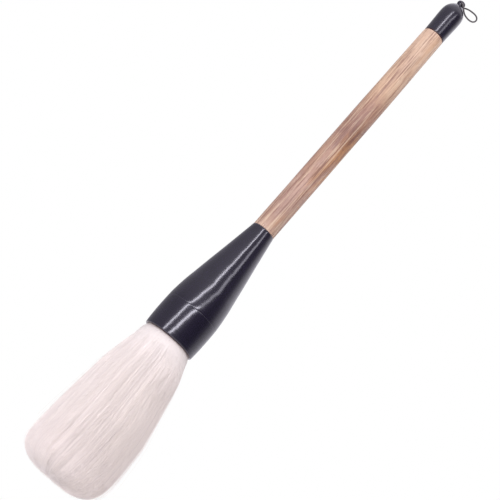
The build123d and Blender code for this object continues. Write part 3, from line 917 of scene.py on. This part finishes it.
def hair_tubes(name, g, line, theta, share, thick, taper_from, sides, facing=None):
    """Thin tapered tubes on lines of points: one per hair, closed at both ends, with a tint of its own."""
    count, rows = line.shape[:2]
    segs = rows - 1
    along_share = np.linspace(0, 1, rows)[None, :]
    radius = thick / 2 * (0.75 + 0.5 * g.random((count, 1))) * (1 - 0.72 * np.clip((along_share - taper_from) / (1 - taper_from), 0, 1) ** 1.5)
    phi = np.linspace(0, 2 * np.pi, sides, endpoint=False) + 0.3
    out = np.stack([np.cos(theta) + 0 * share, np.sin(theta) + 0 * share, -1.5 * (1 - share)], -1)
    along_ = np.gradient(line, axis=1)
    along_ /= np.linalg.norm(along_, axis=2, keepdims=True)
    sidev = np.cross(along_, out)
    sidev /= np.linalg.norm(sidev, axis=2, keepdims=True)
    outv = np.cross(sidev, along_)
    ring = (
        line[:, :, None]
        + outv[:, :, None] * (radius[..., None] * np.cos(phi))[..., None]
        + sidev[:, :, None] * (radius[..., None] * np.sin(phi))[..., None]
    )
    v = ring.reshape(-1, 3) * MM
    c, i, j = np.meshgrid(np.arange(count), np.arange(segs), np.arange(sides), indexing="ij")
    k = (j + 1) % sides
    b0, b1 = (c * rows + i) * sides, (c * rows + i + 1) * sides
    quads = np.stack([b0 + j, b0 + k, b1 + k, b1 + j], -1).reshape(-1, 4)
    obj = mesh_object(name, v, quads)
    base = (np.arange(count) * rows) * sides
    tip = (np.arange(count) * rows + segs) * sides
    tris = np.concatenate([np.stack([base, base + 2, base + 1], 1), np.stack([tip, tip + 1, tip + 2], 1)])
    mesh = obj.data
    old_loops = len(mesh.loops)
    mesh.loops.add(tris.size)
    mesh.polygons.add(len(tris))
    vi = np.zeros(len(mesh.loops), np.int32)
    mesh.loops.foreach_get("vertex_index", vi)
    vi[old_loops:] = tris.ravel()
    mesh.loops.foreach_set("vertex_index", vi)
    starts = np.concatenate([np.arange(0, old_loops, 4), old_loops + np.arange(0, tris.size, 3)]).astype(np.int32)
    mesh.polygons.foreach_set("loop_start", starts)
    mesh.update(calc_edges=True)
    mesh.validate()
    mesh.polygons.foreach_set("use_smooth", np.ones(len(mesh.polygons), bool))
    tint = obj.data.attributes.new("tint", "FLOAT", "POINT")
    tint.data.foreach_set("value", np.repeat(g.random(count).astype(np.float32), rows * sides))
    skin_n = obj.data.attributes.new("skin", "FLOAT_VECTOR", "POINT")
    facing = outv if facing is None else np.broadcast_to(facing, line.shape)
    skin_n.data.foreach_set("vector", np.repeat(facing[:, :, None, :], sides, 2).astype(np.float32).ravel())
    root = np.broadcast_to(theta, line.shape[:2])[:, :1] + np.zeros((1, rows))
    flow = np.stack([np.cos(root), np.sin(root), -line[..., 2] / 100.0], -1)
    lay = obj.data.attributes.new("lay", "FLOAT_VECTOR", "POINT")
    lay.data.foreach_set("vector", np.repeat(flow[:, :, None, :], sides, 2).astype(np.float32).ravel())
    return obj


body = tuft_body()
pieces = [body]
pieces.append(strands("tuft_hair_outer_a", 1500, 71, 0.10, 0.30, 0.24))
pieces.append(strands("tuft_hair_outer_b", 1500, 72, 0.00, 0.20, 0.22))
pieces.append(strands("tuft_hair_outer_c", 1500, 73, -0.05, 0.12, 0.18))
pieces.append(strands("tuft_hair_outer_d", 1500, 75, -0.08, 0.08, 0.16, early=0.05))
pieces.append(strands("tuft_hair_stray", 600, 76, -0.05, 0.05, 0.12, stray=0.95, early=0.25, reach=0.2))
pieces.append(strands("tuft_hair_haze", 900, 79, -0.10, 0.05, 0.11, tail=6, stray=0.95, early=0.10, reach=0.30))
pieces.append(strands("tuft_hair_fuzz", 260, 81, -0.05, 0.05, 0.09, tail=6, stray=2.2, early=0.35, reach=0.55))
pieces.append(inner_tips("tuft_hair_ends_a", 7000, 77, 0.28, -415.0, 0.55, 0.0, 0.72))
pieces.append(inner_tips("tuft_hair_ends_b", 4000, 78, 0.22, -405.0, 0.70, 0.62, 0.99))
for p in pieces:
    dress(p, hair)
    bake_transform(p)
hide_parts("tuft_cover")

# ---------------------------------------------------------------- floor, light
floor_mesh = bpy.data.meshes.new("floor")
s = 4.0
fz = -0.5600
floor_mesh.from_pydata([(-s, -s, fz), (s, -s, fz), (s, s, fz), (-s, s, fz)], [], [(0, 1, 2, 3)])
floor = move_to(bpy.data.objects.new("floor", floor_mesh))
fmat, nt, sh, out = material("floor_pale")
n = Net(nt)
paper = n.noise(n.scale(n.coord(), (30, 30, 30)), 1.0, 3.0, 0.5)
n.link(n.ramp(paper, [(0.3, (0.90, 0.90, 0.90)), (0.7, (0.93, 0.93, 0.93))]), sh.inputs["Base Color"])
sh.inputs["Roughness"].default_value = 0.8
dress(floor, fmat)

world = bpy.data.worlds.new("studio")
scene.world = world
world.use_nodes = True
wt = world.node_tree
wt.nodes.clear()
wn = Net(wt)
w_out = wt.nodes.new("ShaderNodeOutputWorld")
bg_seen = wt.nodes.new("ShaderNodeBackground")
bg_seen.inputs["Color"].default_value = (1, 1, 1, 1)
bg_seen.inputs["Strength"].default_value = 1.0
bg_lit = wt.nodes.new("ShaderNodeBackground")
direction = wt.nodes.new("ShaderNodeTexCoord").outputs["Generated"]
wsep = wt.nodes.new("ShaderNodeSeparateXYZ")
wt.links.new(direction, wsep.inputs[0])
# a light tent: paler walls to the left and behind, a dark panel on the right in front, a bright ceiling
azimuth = wn.math("ARCTAN2", wsep.outputs["X"], wn.math("MULTIPLY", wsep.outputs["Y"], -1.0))
turn = wn.math("ADD", wn.math("DIVIDE", azimuth, 2 * math.pi), 0.5)
elevation = wn.math("MULTIPLY", wn.math("ARCSINE", wsep.outputs["Z"]), 180.0 / math.pi)
WALLS = [(-180, 0.50), (-150, 0.42), (-120, 0.44), (-90, 0.50), (-60, 0.58), (-30, 0.61), (-8, 0.50), (8, 0.32), (25, 0.20), (45, 0.15), (70, 0.16), (86, 0.34), (100, 0.84), (122, 1.12), (145, 1.02), (180, 0.66)]
walls = wn.grey(turn, [((a + 180) / 360, v) for a, v in WALLS])
rise = wn.math("DIVIDE", wn.math("ADD", elevation, 10.0), 55.0, clamp=True)
rise_gain = wn.grey(rise, [(0.0, 0.45), (0.4, 0.50), (0.727, 0.75), (1.0, 1.0)])
wall_light = wn.math("MULTIPLY", wn.math("MULTIPLY", walls, rise_gain), 2.0)
ceiling = wn.math("DIVIDE", wn.math("SUBTRACT", elevation, 34.0), 22.0, clamp=True)
ceiling = wn.math("MULTIPLY", wn.math("MULTIPLY", ceiling, ceiling), wn.math("SUBTRACT", 3.0, wn.math("MULTIPLY", ceiling, 2.0)))
light = wn.math("ADD", wn.math("MULTIPLY", wall_light, wn.math("SUBTRACT", 1.0, ceiling)), wn.math("MULTIPLY", ceiling, 1.50))
wt.links.new(light, bg_lit.inputs["Strength"])
bg_lit.inputs["Color"].default_value = (1.0, 0.97, 1.06, 1)
path = wt.nodes.new("ShaderNodeLightPath")
mixs = wt.nodes.new("ShaderNodeMixShader")
wt.links.new(path.outputs["Is Camera Ray"], mixs.inputs["Fac"])
wt.links.new(bg_lit.outputs["Background"], mixs.inputs[1])
wt.links.new(bg_seen.outputs["Background"], mixs.inputs[2])
wt.links.new(mixs.outputs["Shader"], w_out.inputs["Surface"])


def strip_light(name, low, high, width, radiance, distance=2.2, centre=(0.0, 0.0, -0.300)):
    """A long thin softbox between two directions (degrees round from -Y towards +X, degrees up)."""
    c = Vector(centre)
    ends = []
    for a, e in (low, high):
        a, e = math.radians(a), math.radians(e)
        ends.append(c + distance * Vector((math.sin(a) * math.cos(e), -math.cos(a) * math.cos(e), math.sin(e))))
    mid = (ends[0] + ends[1]) / 2
    x = (ends[1] - ends[0]).normalized()
    zaxis = (mid - c).normalized()
    zaxis = (zaxis - x * zaxis.dot(x)).normalized()
    y = zaxis.cross(x)
    data = bpy.data.lights.new(name, "AREA")
    data.shape = "RECTANGLE"
    data.size = (ends[1] - ends[0]).length
    data.size_y = width
    data.energy = radiance * math.pi * data.size * width
    data.color = (1.0, 0.975, 1.10)
    obj = bpy.data.objects.new(name, data)
    m = Matrix.Identity(4)
    m.col[0][:3], m.col[1][:3], m.col[2][:3] = x, y, zaxis
    m.col[3][:3] = mid
    obj.matrix_world = m
    scene.collection.objects.link(obj)
    return obj


strip_light("strip_left", (-46.5, -2.0), (-4.5, 36.0), 0.15, 15.5)
strip_light("strip_right_low", (-19.0, -2.0), (9.0, 18.5), 0.17, 16.5)
strip_light("strip_right_high", (9.5, 19.0), (40.0, 36.0), 0.20, 5.2)

scene.view_settings.view_transform = "Standard"
scene.view_settings.look = "None"
scene.view_settings.exposure = 0.0
scene.view_settings.gamma = 1.0
